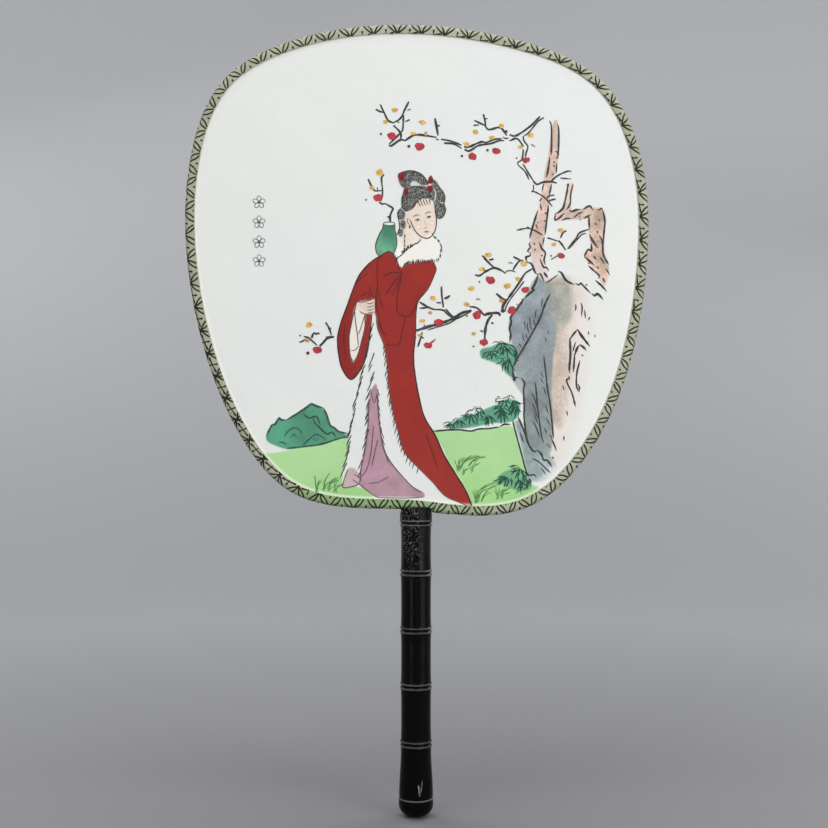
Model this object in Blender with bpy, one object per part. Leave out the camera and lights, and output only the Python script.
"""Round silk hand fan on a straight handle.

A bent wire hoop is covered with silk on both faces over a card lining, and a folded ribbon binds the rim. The
two ends of the wire run down side by side into a hollow handle with rings like bamboo joints, where a wooden
wedge spreads them against the bore. A cap closes the butt.

Frame: +Z along the handle towards the top of the blade, painted face towards -Y, +X to the right of that face.
The origin is on the handle's axis, halfway along the grip. Units are metres.
"""

import math

import bmesh
import bpy
import numpy as np

MM = 0.001
GAP = 0.3 * MM  # clearance between pieces that touch

# Handle, measured down from its top end
HANDLE_LENGTH = 164 * MM
SHAFT_RADIUS = 7.9 * MM
COLLAR_RADIUS = 8.5 * MM
JOINT_DEPTHS = (8.5 * MM, 34.9 * MM, 65.2 * MM, 94.8 * MM, 125.2 * MM)
JOINT_SWELL = 0.2 * MM  # the shaft thickens towards each bamboo joint
SWELL_REACH = 5 * MM
RIDGE_HEIGHT = 0.45 * MM  # a joint is two ridges with a groove between them
RIDGE_OFFSET = 1.15 * MM
RIDGE_HALF_WIDTH = 0.95 * MM
SEAM_DEPTH = 153.4 * MM  # where the butt cap meets the tube
SEAM_RADIUS = 9.05 * MM
TOP_ROUNDING = 1.6 * MM
EDGE_ROUNDING = 0.6 * MM
BORE_RADIUS = 3.3 * MM
HANDLE_SIDES = 28
TOP_STEPS = 4

# Butt cap
CAP_BAND = 3.4 * MM  # the cap is straight for this far, then domed
CAP_FLAT_RADIUS = 3 * MM
DOME_FULLNESS = 2.3  # exponent of the dome's profile, where 2 is an ellipse
SPIGOT_LENGTH = 8 * MM

# Blade, with z measured up from the handle's top end. The outline runs clockwise from the handle.
BLADE_OUTLINE_MM = (
    (0, -1.8), (-34, -0.6), (-65, 7), (-91.5, 35), (-110, 76), (-121, 128), (-120, 182), (-102, 226), (-68, 246),
    (-10, 255.3), (54, 247), (99, 225), (119.5, 184), (122.3, 128), (110.5, 67), (87.5, 23), (60, 0), (30, -4.8),
)
STATIONS = 96

# Rim, from the inside out
WIRE_RADIUS = 1 * MM
WIRE_SIDES = 8
SILK_THICKNESS = 0.35 * MM
LINING_THICKNESS = 0.5 * MM
RIBBON_THICKNESS = 0.4 * MM
RIBBON_LEAF = 5.2 * MM  # how far each leaf reaches in from the rim's edge
FOLD_STEPS = 6
LAP_START, LAP_END = 8.8 * MM, 17 * MM  # the ribbon's ends overlap between these x, beside the handle
LAP_THICKNESS = 0.35 * MM

# Wire tangs and their wedge, inside the handle
TANG_X = 1.9 * MM
TANG_LENGTH = 34 * MM
TANG_BEND = 3.5 * MM
BEND_STEPS = 6
WEDGE_LENGTH = 24 * MM
WEDGE_DEPTH = 5 * MM
WEDGE_TIP = 0.7 * MM
WEDGE_TOP_DEPTH = 5 * MM

HANDLE_TOP = HANDLE_LENGTH / 2
HANDLE_BOTTOM = -HANDLE_LENGTH / 2
SEAM_Z = HANDLE_TOP - SEAM_DEPTH
SILK_Y = WIRE_RADIUS + GAP  # each silk's inner face
RIBBON_INNER_Y = SILK_Y + SILK_THICKNESS + GAP
RIBBON_OUTER_Y = RIBBON_INNER_Y + RIBBON_THICKNESS
WIRE_INSET = RIBBON_OUTER_Y  # the wire's centre lies at the centre of the ribbon's round fold
SILK_INSET = 1.9 * MM
LINING_INSET = WIRE_INSET + WIRE_RADIUS + GAP
RIM_SLOT_WIDTH = 2 * (RIBBON_OUTER_Y + GAP)
RIM_SLOT_DEPTH = 3.2 * MM
RIM_SLIT_X = 4.6 * MM  # the ribbon's fold is slit this far each side, for the tangs
RIM_SLIT_Y = WIRE_RADIUS + 0.5 * MM

MATERIALS = {
    "steel_wire": ((0.42, 0.42, 0.43), 0.35, 1.0),
    "painted_silk": ((0.86, 0.87, 0.86), 0.6, 0.0),
    "plain_silk": ((0.86, 0.87, 0.86), 0.6, 0.0),
    "lining_card": ((0.88, 0.86, 0.8), 0.85, 0.0),
    "green_brocade": ((0.42, 0.47, 0.31), 0.7, 0.0),
    "black_lacquer": ((0.012, 0.012, 0.013), 0.18, 0.0),
    "pale_wood": ((0.55, 0.38, 0.22), 0.65, 0.0),
}


def clear_scene():
    for obj in list(bpy.data.objects):
        bpy.data.objects.remove(obj)


def make_materials():
    """The part's materials by name, each a Principled BSDF."""
    made = {}
    for name, (colour, roughness, metallic) in MATERIALS.items():
        material = bpy.data.materials.new(name)
        material.use_nodes = True
        shader = material.node_tree.nodes["Principled BSDF"]
        shader.inputs["Base Color"].default_value = (*colour, 1)
        shader.inputs["Roughness"].default_value = roughness
        shader.inputs["Metallic"].default_value = metallic
        made[name] = material
    return made


def add_object(name, data, material=None):
    obj = bpy.data.objects.new(name, data)
    bpy.context.scene.collection.objects.link(obj)
    if material:
        data.materials.append(material)
    return obj


def mesh_object(name, points, faces, material=None):
    """An object of these faces, with its normals turned out."""
    mesh = bpy.data.meshes.new(name)
    mesh.from_pydata(points, [], faces)
    work = bmesh.new()
    work.from_mesh(mesh)
    bmesh.ops.recalc_face_normals(work, faces=work.faces)
    work.to_mesh(mesh)
    work.free()
    return add_object(name, mesh, material)


def shade_round(obj, sharp_degrees=35):
    obj.data.shade_smooth()
    obj.data.set_sharp_from_angle(angle=math.radians(sharp_degrees))


def cut_box(obj, low, high):
    """Takes the box between two corners out of an object."""
    corners = [(x, y, z) for x in (low[0], high[0]) for y in (low[1], high[1]) for z in (low[2], high[2])]
    sides = [(0, 1, 3, 2), (4, 6, 7, 5), (0, 4, 5, 1), (2, 3, 7, 6), (0, 2, 6, 4), (1, 5, 7, 3)]
    cutter = mesh_object(obj.name + "_cutter", corners, sides)
    cutter.hide_render = True
    cutter.display_type = "WIRE"
    boolean = obj.modifiers.new("Cut", "BOOLEAN")
    boolean.operation = "DIFFERENCE"
    boolean.object = cutter


def closed_spline(points, samples):
    """Points along a smooth closed cubic curve through the given ones, spaced by chord length."""
    count = len(points)
    spans = np.linalg.norm(np.roll(points, -1, axis=0) - points, axis=1)
    system = np.zeros((count, count))
    slopes = np.zeros_like(points)
    for i in range(count):
        before, after = spans[i - 1], spans[i]
        ahead = (i + 1) % count
        system[i, i - 1] += after
        system[i, i] += 2 * (before + after)
        system[i, ahead] += before
        slopes[i] = 3 * (
            after * (points[i] - points[i - 1]) / before + before * (points[ahead] - points[i]) / after
        )
    tangents = np.linalg.solve(system, slopes)
    curve = []
    for i in range(count):
        ahead = (i + 1) % count
        for t in np.arange(samples) / samples:
            curve.append(
                (2 * t**3 - 3 * t**2 + 1) * points[i]
                + (t**3 - 2 * t**2 + t) * spans[i] * tangents[i]
                + (3 * t**2 - 2 * t**3) * points[ahead]
                + (t**3 - t**2) * spans[i] * tangents[ahead]
            )
    return np.array(curve)


def blade_outline(inset=0.0, count=STATIONS):
    """Evenly spaced (x, z) points round the blade, starting at the handle, moved in from the edge by inset."""
    curve = closed_spline(np.array(BLADE_OUTLINE_MM) * MM + (0, HANDLE_TOP), 40)
    closed = np.vstack([curve, curve[:1]])
    travelled = np.concatenate([[0], np.cumsum(np.linalg.norm(np.diff(closed, axis=0), axis=1))])
    wanted = np.arange(count) / count * travelled[-1]
    even = np.column_stack([np.interp(wanted, travelled, closed[:, k]) for k in (0, 1)])
    along = np.roll(even, -1, axis=0) - np.roll(even, 1, axis=0)
    along /= np.linalg.norm(along, axis=1)[:, None]
    inwards = np.column_stack([along[:, 1], -along[:, 0]])
    return even + inset * inwards


def plate(name, inset, low_y, high_y, material):
    """A flat sheet with the blade's outline, between two heights in Y."""
    outline = blade_outline(inset)
    count = len(outline)
    points = [(x, y, z) for y in (low_y, high_y) for x, z in outline]
    faces = [tuple(range(count)), tuple(range(count, 2 * count))]
    for i in range(count):
        ahead = (i + 1) % count
        faces.append((i, ahead, count + ahead, count + i))
    return mesh_object(name, points, faces, material)


def make_silks(materials):
    plate("front_silk", SILK_INSET, -SILK_Y - SILK_THICKNESS, -SILK_Y, materials["painted_silk"])
    plate("back_silk", SILK_INSET, SILK_Y, SILK_Y + SILK_THICKNESS, materials["plain_silk"])


def make_lining(materials):
    half = LINING_THICKNESS / 2
    plate("panel_lining", LINING_INSET, -half, half, materials["lining_card"])


def ribbon_section(extra):
    """(inset, y) points of the folded ribbon: round the outside of the fold, then back along the inside."""
    outer = RIBBON_OUTER_Y + extra
    section = [(RIBBON_LEAF, -outer)]
    for radius, order in ((outer, 1), (RIBBON_INNER_Y, -1)):
        for step in range(FOLD_STEPS + 1):
            angle = order * (step / FOLD_STEPS * math.pi - math.pi / 2)
            section.append((RIBBON_OUTER_Y - radius * math.cos(angle), radius * math.sin(angle)))
        section.append((RIBBON_LEAF, order * radius))
    section.append((RIBBON_LEAF, -RIBBON_INNER_Y))
    return section[:-1]


def make_binding(materials):
    """The ribbon folded over the whole rim. A short stretch is thicker, where its ends overlap."""
    edge = blade_outline()
    inner = blade_outline(RIBBON_LEAF)
    points = []
    for (x, z), (inner_x, inner_z) in zip(edge, inner, strict=True):
        lapped = LAP_START < x < LAP_END and z < HANDLE_TOP
        for inset, y in ribbon_section(LAP_THICKNESS if lapped else 0):
            share = inset / RIBBON_LEAF
            points.append((x + share * (inner_x - x), y, z + share * (inner_z - z)))
    size = len(points) // STATIONS
    faces = []
    for station in range(STATIONS):
        start, ahead = station * size, (station + 1) % STATIONS * size
        for k in range(size):
            after = (k + 1) % size
            faces.append((start + k, start + after, ahead + after, ahead + k))
    binding = mesh_object("edge_binding", points, faces, materials["green_brocade"])
    shade_round(binding)
    slit_low, slit_high = HANDLE_TOP - 2 * RIBBON_OUTER_Y, HANDLE_TOP + WIRE_INSET - RIBBON_OUTER_Y
    cut_box(binding, (-RIM_SLIT_X, -RIM_SLIT_Y, slit_low), (RIM_SLIT_X, RIM_SLIT_Y, slit_high))


def wire_path():
    """Centre points of the wire: up one tang, round the hoop and down the other tang."""
    hoop = blade_outline(WIRE_INSET)
    free = [(x, z) for x, z in hoop if abs(x) > TANG_X + TANG_BEND or z > HANDLE_TOP + TANG_LENGTH]
    left = [(x, z) for x, z in free if x < 0]
    right = [(x, z) for x, z in free if x >= 0]
    seat = {
        -1: np.interp(-TANG_X - TANG_BEND, *np.transpose(sorted(left[:3]))),
        1: np.interp(TANG_X + TANG_BEND, *np.transpose(sorted(right[-3:]))),
    }
    ends = {}
    for side in (-1, 1):
        tang = [(side * TANG_X, HANDLE_TOP - TANG_LENGTH), (side * TANG_X, HANDLE_TOP - TANG_LENGTH / 2)]
        for step in range(BEND_STEPS + 1):
            angle = step / BEND_STEPS * math.pi / 2
            x = TANG_X + TANG_BEND * (1 - math.cos(angle))
            tang.append((side * x, seat[side] - TANG_BEND * (1 - math.sin(angle))))
        ends[side] = tang
    return ends[-1] + left + right + ends[1][::-1]


def make_hoop(materials):
    curve = bpy.data.curves.new("wire_hoop", "CURVE")
    curve.dimensions = "3D"
    curve.bevel_depth = WIRE_RADIUS
    curve.bevel_resolution = WIRE_SIDES // 4
    curve.use_fill_caps = True
    path = wire_path()
    spline = curve.splines.new("POLY")
    spline.points.add(len(path) - 1)
    for point, (x, z) in zip(spline.points, path, strict=True):
        point.co = (x, 0, z, 1)
    add_object("wire_hoop", curve, materials["steel_wire"])


def turned(name, profile, closed, material):
    """A solid of revolution about Z. The profile is (radius, z), down its outer side from the top."""
    mesh = bpy.data.meshes.new(name)
    last = len(profile) - 1
    edges = [(i, i + 1) for i in range(last)]
    if closed:
        edges.append((last, 0))
    mesh.from_pydata([(radius, 0, z) for radius, z in profile], edges, [])
    obj = add_object(name, mesh, material)
    screw = obj.modifiers.new("Turn", "SCREW")
    screw.steps = screw.render_steps = HANDLE_SIDES
    screw.use_merge_vertices = True
    screw.merge_threshold = 0.01 * MM
    return obj


def joint_bump(depth):
    """How far the two ridges of a bamboo joint stand out of the shaft at this depth."""
    height = 0
    for joint in JOINT_DEPTHS:
        for ridge in (joint - RIDGE_OFFSET, joint + RIDGE_OFFSET):
            away = abs(depth - ridge) / RIDGE_HALF_WIDTH
            if away < 1:
                height += RIDGE_HEIGHT * math.cos(away * math.pi / 2) ** 2
    return height


def shaft_radius(depth):
    """Outer radius of the handle at a depth below its top end."""
    if depth < JOINT_DEPTHS[0]:
        return COLLAR_RADIUS + joint_bump(depth) / 2
    nearest = min(abs(depth - joint) for joint in JOINT_DEPTHS)
    swell = JOINT_SWELL * math.exp(-((nearest / SWELL_REACH) ** 2))
    flare = max(0, (depth - JOINT_DEPTHS[-1]) / (SEAM_DEPTH - JOINT_DEPTHS[-1]))
    widening = (SEAM_RADIUS - SHAFT_RADIUS) * flare**2 * (3 - 2 * flare)
    return SHAFT_RADIUS + swell + widening + joint_bump(depth)


def handle_depths():
    """Depths at which the handle's profile has a point: close together at the joints."""
    depths = {TOP_ROUNDING, 4.2 * MM}
    for joint in JOINT_DEPTHS:
        for away in (0, RIDGE_OFFSET / 2, RIDGE_OFFSET, 1.65 * MM, 2.1 * MM, 5 * MM):
            depths |= {joint - away, joint + away}
    middle = (JOINT_DEPTHS[-1] + SEAM_DEPTH) / 2
    return sorted(depths | {middle - 4 * MM, middle, middle + 4 * MM, middle + 9 * MM})


def make_handle(materials):
    """The tube: bored right through, with a slot across its top end that the rim sits in."""
    profile = []
    for step in range(TOP_STEPS):
        angle = step / TOP_STEPS * math.pi / 2
        radius = COLLAR_RADIUS - TOP_ROUNDING * (1 - math.sin(angle))
        profile.append((radius, HANDLE_TOP - TOP_ROUNDING * (1 - math.cos(angle))))
    profile += [(shaft_radius(depth), HANDLE_TOP - depth) for depth in handle_depths()]
    profile += [(SEAM_RADIUS, SEAM_Z), (BORE_RADIUS, SEAM_Z), (BORE_RADIUS, HANDLE_TOP)]
    handle = turned("handle", profile, True, materials["black_lacquer"])
    half = RIM_SLOT_WIDTH / 2
    cut_box(
        handle,
        (-2 * COLLAR_RADIUS, -half, HANDLE_TOP - RIM_SLOT_DEPTH),
        (2 * COLLAR_RADIUS, half, HANDLE_TOP + RIM_SLOT_DEPTH),
    )


def make_butt_cap(materials):
    """The domed cap, with a spigot that fits the bore and a small flat at the very end."""
    spigot = BORE_RADIUS - GAP
    rim_z = SEAM_Z - GAP
    dome_z = rim_z - CAP_BAND
    dome_height = dome_z - HANDLE_BOTTOM
    ridge = SEAM_RADIUS + 0.15 * MM
    profile = [
        (0, SEAM_Z + SPIGOT_LENGTH),
        (spigot - EDGE_ROUNDING, SEAM_Z + SPIGOT_LENGTH),
        (spigot, SEAM_Z + SPIGOT_LENGTH - EDGE_ROUNDING),
        (spigot, rim_z),
        (SEAM_RADIUS - EDGE_ROUNDING / 2, rim_z),
        (ridge, rim_z - EDGE_ROUNDING),
        (ridge, rim_z - 3 * EDGE_ROUNDING),
    ]
    power = 2 / DOME_FULLNESS
    end_angle = math.acos((CAP_FLAT_RADIUS / ridge) ** (1 / power))
    height_at_flat = math.sin(end_angle) ** power
    for step in range(8):
        angle = step / 7 * end_angle
        height = dome_height * math.sin(angle) ** power / height_at_flat
        profile.append((ridge * math.cos(angle) ** power, dome_z - height))
    profile.append((0, HANDLE_BOTTOM))
    turned("butt_cap", profile, False, materials["black_lacquer"])


def make_wedge(materials):
    """The wooden wedge driven down between the tangs."""
    top = HANDLE_TOP - WEDGE_TOP_DEPTH
    half_y = WEDGE_DEPTH / 2
    half_top = TANG_X - WIRE_RADIUS - GAP
    half_tip = WEDGE_TIP / 2
    points = [(side * half_top, y, top) for side in (-1, 1) for y in (-half_y, half_y)]
    points += [(side * half_tip, y, top - WEDGE_LENGTH) for side in (-1, 1) for y in (-half_y, half_y)]
    faces = [(0, 1, 3, 2), (4, 6, 7, 5), (0, 4, 5, 1), (2, 3, 7, 6), (0, 2, 6, 4), (1, 5, 7, 3)]
    wedge = mesh_object("tang_wedge", points, faces, materials["pale_wood"])
    bevel = wedge.modifiers.new("Soften", "BEVEL")
    bevel.width = 0.25 * MM
    bevel.segments = 1


def main():
    clear_scene()
    materials = make_materials()
    make_hoop(materials)
    make_lining(materials)
    make_silks(materials)
    make_binding(materials)
    make_handle(materials)
    make_wedge(materials)
    make_butt_cap(materials)


main()
